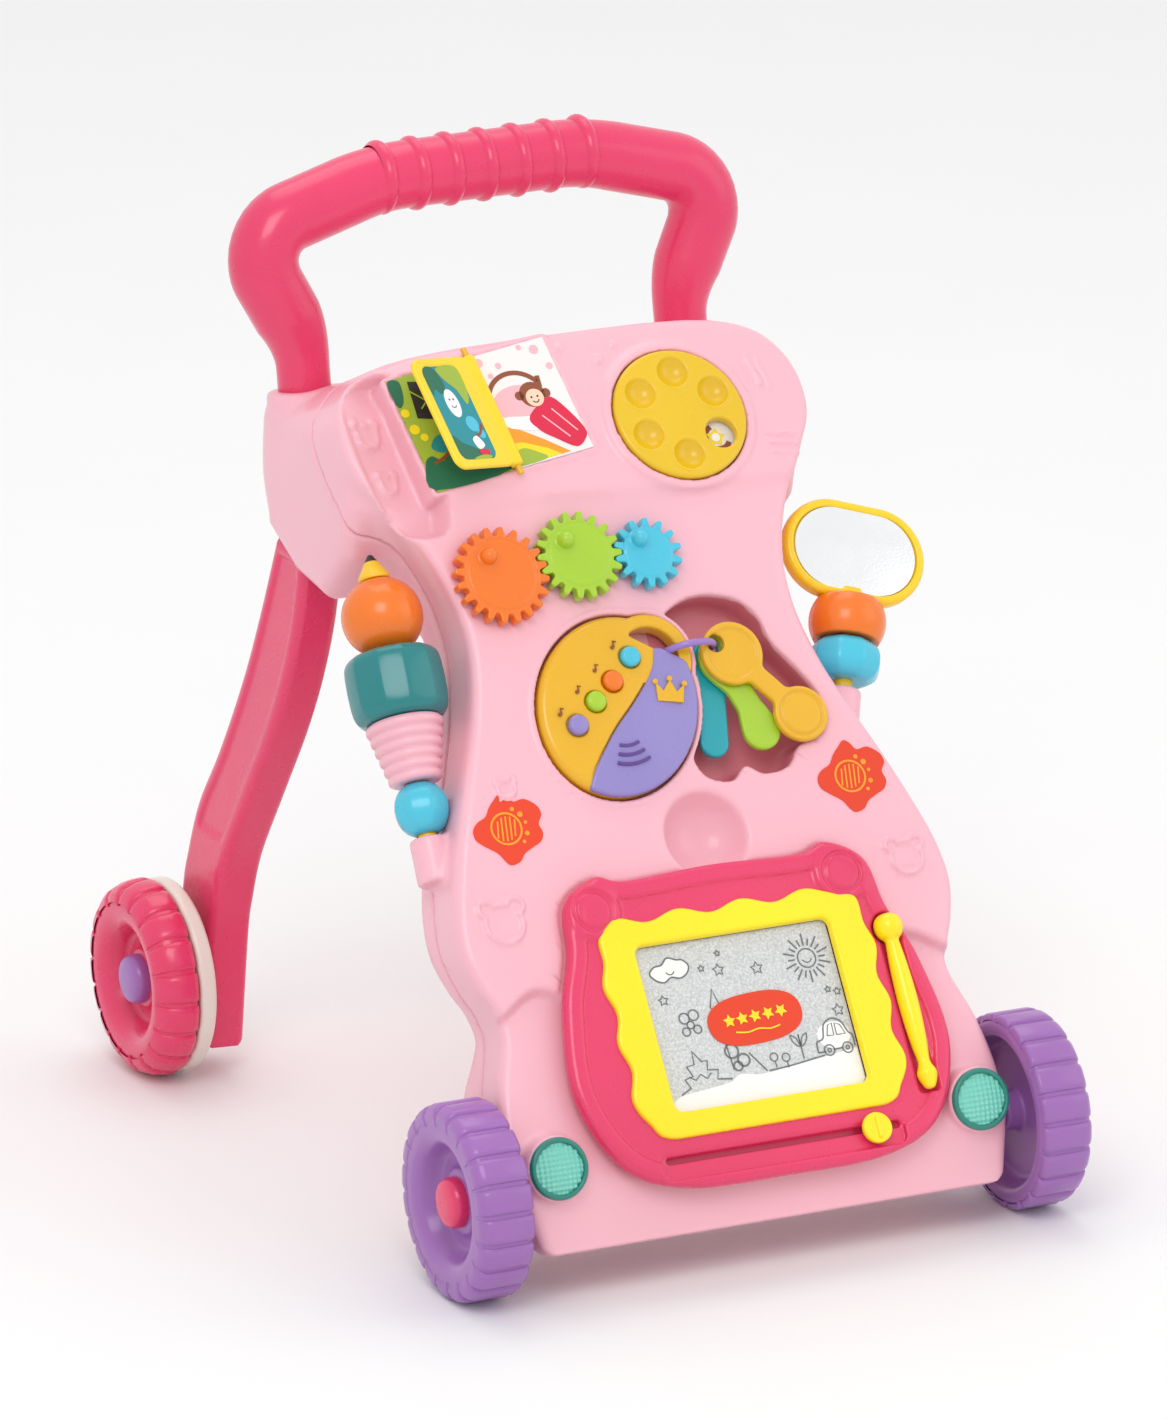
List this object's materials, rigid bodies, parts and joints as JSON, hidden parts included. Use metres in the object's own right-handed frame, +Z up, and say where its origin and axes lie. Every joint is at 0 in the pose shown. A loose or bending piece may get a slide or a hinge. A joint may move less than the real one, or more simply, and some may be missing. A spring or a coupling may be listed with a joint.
{
  "type": "baby walker",
  "caption": "Push-along baby walker: pink hourglass play panel, round grip handle, two rear legs, four wheels, drawing board, remote, keys, gears, book, disc, mirror, beads.",
  "frame": {"origin": "on the floor, under the middle of the walker's overall box", "axes": "+Z up, -Y the way the panel faces, +X to the right when looking at the panel from the front"},
  "size_m": [0.3288, 0.4454, 0.4718],
  "materials": {
    "light_pink": "satin moulded plastic",
    "dark_pink": "satin moulded plastic",
    "purple": "satin moulded plastic",
    "disc_yellow": "satin moulded plastic",
    "yellow": "satin moulded plastic",
    "bright_yellow": "satin moulded plastic",
    "orange": "satin moulded plastic",
    "green": "satin moulded plastic",
    "light_blue": "satin moulded plastic",
    "teal": "gloss moulded plastic",
    "dark_teal": "gloss moulded plastic",
    "mint": "faceted lamp lens",
    "lilac": "satin moulded plastic",
    "red": "printed label",
    "page_green": "printed page",
    "page_red": "printed page",
    "paper": "printed card",
    "pencil_wood": "painted pencil tip",
    "warm_white": "matte moulded plastic",
    "screen": "magnetic drawing screen",
    "steel": "plated steel",
    "black": "matte",
    "mirror": "mirror film"
  },
  "bodies": {
    "root": {"front_shell": "light_pink", "rear_shell": "light_pink", "handle": "dark_pink", "left_leg": "dark_pink", "right_leg": "dark_pink", "battery_door": "light_pink", "screws": "steel", "speaker": "black", "front_axle": "steel", "rear_axles": "steel", "lamp_rims": "dark_teal", "lamp_lenses": "mint", "labels": "red", "book_left_page": "page_green", "book_right_page": "page_red", "book_pin": "yellow", "disc_picture": "paper", "toy_pins": "light_pink", "pencil_rod": "yellow", "pencil_tip": "pencil_wood", "mirror_post": "yellow"},
    "front_left_wheel": {"front_left_wheel": "purple", "front_left_cap": "dark_pink"},
    "front_right_wheel": {"front_right_wheel": "purple", "front_right_cap": "dark_pink"},
    "rear_left_wheel": {"rear_left_tyre": "dark_pink", "rear_left_band": "warm_white", "rear_left_cap": "purple"},
    "rear_right_wheel": {"rear_right_tyre": "dark_pink", "rear_right_band": "warm_white", "rear_right_cap": "purple"},
    "picture_disc": {"disc": "disc_yellow"},
    "book_leaf": {"book_leaf": "yellow"},
    "large_gear": {"gear_large": "orange"},
    "medium_gear": {"gear_medium": "green"},
    "small_gear": {"gear_small": "light_blue"},
    "drawing_board": {"board_frame": "dark_pink", "board_bezel": "bright_yellow", "board_screen": "screen"},
    "eraser": {"eraser_knob": "bright_yellow"},
    "pen": {"pen": "bright_yellow"},
    "remote": {"remote_base": "yellow", "remote_cover": "lilac"},
    "blue_button": {"blue_button": "light_blue"},
    "orange_button": {"orange_button": "orange"},
    "green_button": {"green_button": "green"},
    "purple_button": {"purple_button": "purple"},
    "key_ring": {"key_ring": "purple"},
    "yellow_key": {"yellow_key": "yellow"},
    "green_key": {"green_key": "green"},
    "teal_key": {"teal_key": "teal"},
    "pencil_ball": {"pencil_ball": "orange"},
    "pencil_barrel": {"pencil_barrel": "teal"},
    "pencil_cone": {"pencil_cone": "light_pink"},
    "pencil_bead": {"pencil_bead": "light_blue"},
    "mirror": {"mirror_frame": "yellow", "mirror_glass": "mirror"},
    "mirror_ball": {"mirror_ball": "orange"},
    "mirror_disc_bead": {"mirror_disc_bead": "light_blue"}
  },
  "joints": [
    {"name": "front_left_wheel_spin", "type": "hinge", "parent": "root", "child": "front_left_wheel", "pos_m": [-0.147, -0.1757, 0.047], "axis": [1, 0, 0], "continuous": true},
    {"name": "rear_left_wheel_spin", "type": "hinge", "parent": "root", "child": "rear_left_wheel", "pos_m": [-0.152, 0.1743, 0.0484], "axis": [1, 0, 0], "continuous": true},
    {"name": "front_right_wheel_spin", "type": "hinge", "parent": "root", "child": "front_right_wheel", "pos_m": [0.147, -0.1757, 0.047], "axis": [1, 0, 0], "continuous": true},
    {"name": "rear_right_wheel_spin", "type": "hinge", "parent": "root", "child": "rear_right_wheel", "pos_m": [0.152, 0.1743, 0.0484], "axis": [1, 0, 0], "continuous": true},
    {"name": "picture_disc_spin", "type": "hinge", "parent": "root", "child": "picture_disc", "pos_m": [0.051, 0.00543, 0.35067], "axis": [0, -0.7547, 0.6561], "continuous": true},
    {"name": "book_leaf_turn", "type": "hinge", "parent": "root", "child": "book_leaf", "pos_m": [-0.044, 0.00918, 0.36596], "axis": [-0.1392, 0.6497, 0.7474], "range_deg": [-18, 140]},
    {"name": "large_gear_spin", "type": "hinge", "parent": "root", "child": "large_gear", "pos_m": [-0.063, -0.03584, 0.29803], "axis": [0, -0.8261, 0.5635], "continuous": true},
    {"name": "medium_gear_spin", "type": "hinge", "parent": "root", "child": "medium_gear", "pos_m": [-0.02143, -0.03338, 0.30164], "axis": [0, -0.8261, 0.5635], "continuous": true},
    {"name": "small_gear_spin", "type": "hinge", "parent": "root", "child": "small_gear", "pos_m": [0.01358, -0.03545, 0.2986], "axis": [0, -0.8261, 0.5635], "continuous": true},
    {"name": "board_lift_off", "type": "slide", "parent": "root", "child": "drawing_board", "axis": [0, -0.8261, 0.5635], "range_m": [0, 0.05]},
    {"name": "eraser_slide", "type": "slide", "parent": "drawing_board", "child": "eraser", "axis": [1, 0, 0], "range_m": [-0.104, 0.007]},
    {"name": "pen_lift_out", "type": "slide", "parent": "drawing_board", "child": "pen", "axis": [0, -0.8261, 0.5635], "range_m": [0, 0.04]},
    {"name": "remote_lift_out", "type": "slide", "parent": "root", "child": "remote", "axis": [0, -0.8261, 0.5635], "range_m": [0, 0.04]},
    {"name": "blue_button_press", "type": "slide", "parent": "remote", "child": "blue_button", "axis": [0, 0.8261, -0.5635], "range_m": [0, 0.001], "stiffness_N_per_m": 600},
    {"name": "orange_button_press", "type": "slide", "parent": "remote", "child": "orange_button", "axis": [0, 0.8261, -0.5635], "range_m": [0, 0.001], "stiffness_N_per_m": 600},
    {"name": "green_button_press", "type": "slide", "parent": "remote", "child": "green_button", "axis": [0, 0.8261, -0.5635], "range_m": [0, 0.001], "stiffness_N_per_m": 600},
    {"name": "purple_button_press", "type": "slide", "parent": "remote", "child": "purple_button", "axis": [0, 0.8261, -0.5635], "range_m": [0, 0.001], "stiffness_N_per_m": 600},
    {"name": "key_ring_swing", "type": "hinge", "parent": "remote", "child": "key_ring", "pos_m": [0.024, -0.06067, 0.25808], "axis": [0, -0.5635, -0.8261], "range_deg": [0, 60]},
    {"name": "yellow_key_swing", "type": "hinge", "parent": "key_ring", "child": "yellow_key", "pos_m": [0.037, -0.06233, 0.2592], "axis": [0, -0.8261, 0.5635], "range_deg": [-6, 20]},
    {"name": "green_key_swing", "type": "hinge", "parent": "key_ring", "child": "green_key", "pos_m": [0.037, -0.06233, 0.2592], "axis": [0, -0.8261, 0.5635], "range_deg": [-3, 3]},
    {"name": "teal_key_swing", "type": "hinge", "parent": "key_ring", "child": "teal_key", "pos_m": [0.037, -0.06233, 0.2592], "axis": [0, -0.8261, 0.5635], "range_deg": [-3, 3]},
    {"name": "pencil_ball_spin", "type": "hinge", "parent": "root", "child": "pencil_ball", "pos_m": [-0.12095, -0.08051, 0.19351], "axis": [0.0523, 0.5628, 0.825], "continuous": true},
    {"name": "pencil_barrel_spin", "type": "hinge", "parent": "root", "child": "pencil_barrel", "pos_m": [-0.12095, -0.08051, 0.19351], "axis": [0.0523, 0.5628, 0.825], "continuous": true},
    {"name": "pencil_cone_spin", "type": "hinge", "parent": "root", "child": "pencil_cone", "pos_m": [-0.12095, -0.08051, 0.19351], "axis": [0.0523, 0.5628, 0.825], "continuous": true},
    {"name": "pencil_bead_spin", "type": "hinge", "parent": "root", "child": "pencil_bead", "pos_m": [-0.12095, -0.08051, 0.19351], "axis": [0.0523, 0.5628, 0.825], "continuous": true},
    {"name": "mirror_turn", "type": "hinge", "parent": "root", "child": "mirror", "pos_m": [0.12217, -0.03637, 0.26177], "axis": [0.3371, 0.5305, 0.7777], "continuous": true},
    {"name": "mirror_ball_spin", "type": "hinge", "parent": "root", "child": "mirror_ball", "pos_m": [0.11522, -0.0473, 0.24574], "axis": [0.3371, 0.5305, 0.7777], "continuous": true},
    {"name": "mirror_disc_bead_spin", "type": "hinge", "parent": "root", "child": "mirror_disc_bead", "pos_m": [0.10838, -0.05807, 0.22996], "axis": [0.3371, 0.5305, 0.7777], "continuous": true}
  ],
  "couplings": [
    {"joint": "medium_gear_spin", "follows": "large_gear_spin", "ratio": -1.1111},
    {"joint": "small_gear_spin", "follows": "large_gear_spin", "ratio": 1.4286}
  ]
}
